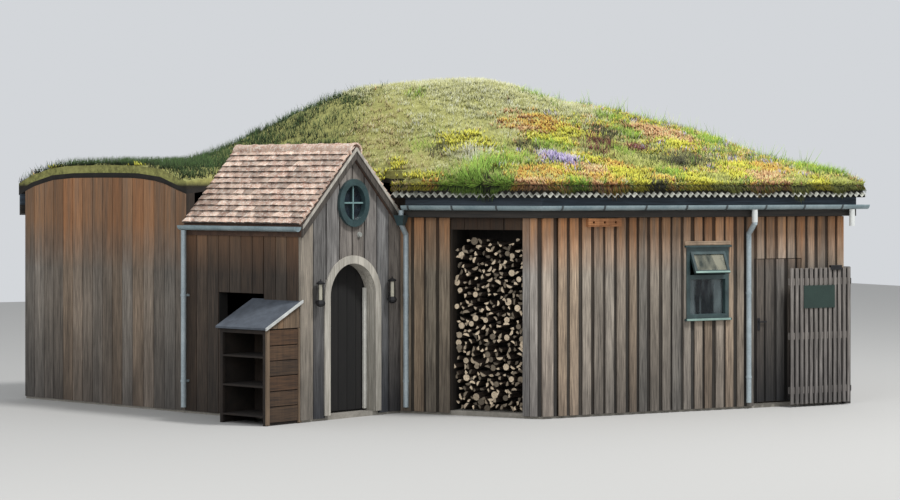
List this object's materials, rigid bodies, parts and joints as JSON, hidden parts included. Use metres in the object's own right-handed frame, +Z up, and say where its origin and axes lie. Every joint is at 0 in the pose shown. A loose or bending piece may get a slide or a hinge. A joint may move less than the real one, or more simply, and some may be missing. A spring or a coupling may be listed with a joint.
{
  "type": "potting shed",
  "caption": "Boarded garden potting shed with a domed turf roof, a gabled tiled porch set at an angle, a log store, a lean-to hutch and a slatted side gate.",
  "frame": {"origin": "on the ground in the middle of the whole shed's bounding box", "axes": "+X along the main boarded front to the right, -Y out of that front, +Z up"},
  "size_m": [9.677, 6.4053, 4.3662],
  "materials": {
    "concrete": "matte",
    "porch_boards": "matte",
    "side_boards": "matte",
    "rough_timber": "matte",
    "pale_oak": "matte",
    "dark_boards": "matte",
    "black_iron": "satin",
    "teal_paint": "satin",
    "window_glass": "gloss",
    "clay_tiles": "matte",
    "ridge_tiles": "matte",
    "pale_boards": "matte",
    "brown_boards": "matte",
    "slate_felt": "matte",
    "firewood": "matte",
    "wall_boards": "matte",
    "turf": "matte",
    "eaves_boards": "matte",
    "gutter_metal": "satin",
    "dark_timber": "matte",
    "gate_boards": "matte",
    "nest_box_wood": "matte"
  },
  "bodies": {
    "shed": {"back_eaves": "eaves_boards", "back_wall": "wall_boards", "bargeboards": "pale_boards", "firewood": "firewood", "floor_slab": "concrete", "front_door_header": "wall_boards", "front_downpipe": "gutter_metal", "front_eaves": "eaves_boards", "front_wall_left": "wall_boards", "front_wall_middle": "wall_boards", "front_wall_right": "wall_boards", "front_window_bay": "wall_boards", "gate_pintles": "black_iron", "gate_post": "dark_timber", "hutch_case": "brown_boards", "hutch_roof": "slate_felt", "lantern_left": "black_iron", "lantern_right": "black_iron", "log_recess": "rough_timber", "nest_box": "nest_box_wood", "party_wall": "wall_boards", "porch_door_frame": "pale_oak", "porch_door_hinges": "black_iron", "porch_downpipe": "gutter_metal", "porch_front_left": "porch_boards", "porch_front_right": "porch_boards", "porch_gable_wall": "porch_boards", "porch_gutter": "gutter_metal", "porch_inner_frame": "rough_timber", "porch_left_wall": "side_boards", "porch_ridge": "ridge_tiles", "porch_roof_left": "clay_tiles", "porch_roof_right": "clay_tiles", "porch_window_frame": "teal_paint", "porch_window_glass": "window_glass", "right_eaves": "eaves_boards", "right_end_wall": "wall_boards", "roof_deck": "rough_timber", "service_door_frame": "rough_timber", "store_corner": "pale_boards", "store_downpipe": "gutter_metal", "store_eaves": "eaves_boards", "store_header": "wall_boards", "store_wall_left": "wall_boards", "turf_roof": "turf", "window_frame": "teal_paint", "window_glass": "window_glass", "window_vent": "teal_paint", "wing_gutter": "gutter_metal"},
    "porch_leaf": {"porch_door": "dark_boards", "porch_door_handle": "black_iron"},
    "service_leaf": {"service_door": "wall_boards", "service_door_handle": "black_iron"},
    "gate_leaf": {"side_gate": "gate_boards", "gate_straps": "black_iron"}
  },
  "joints": [
    {"name": "porch_door_hinge", "type": "hinge", "parent": "shed", "child": "porch_leaf", "pos_m": [-1.754, -1.2779, 1], "axis": [0, 0, -1], "range_deg": [0, 95]},
    {"name": "service_door_hinge", "type": "hinge", "parent": "shed", "child": "service_leaf", "pos_m": [3.8635, -2.8934, 1], "axis": [0, 0, -1], "range_deg": [0, 90]},
    {"name": "side_gate_hinge", "type": "hinge", "parent": "shed", "child": "gate_leaf", "pos_m": [4.5985, -3.0974, 1], "axis": [0, 0, 1], "range_deg": [0, 170]}
  ]
}
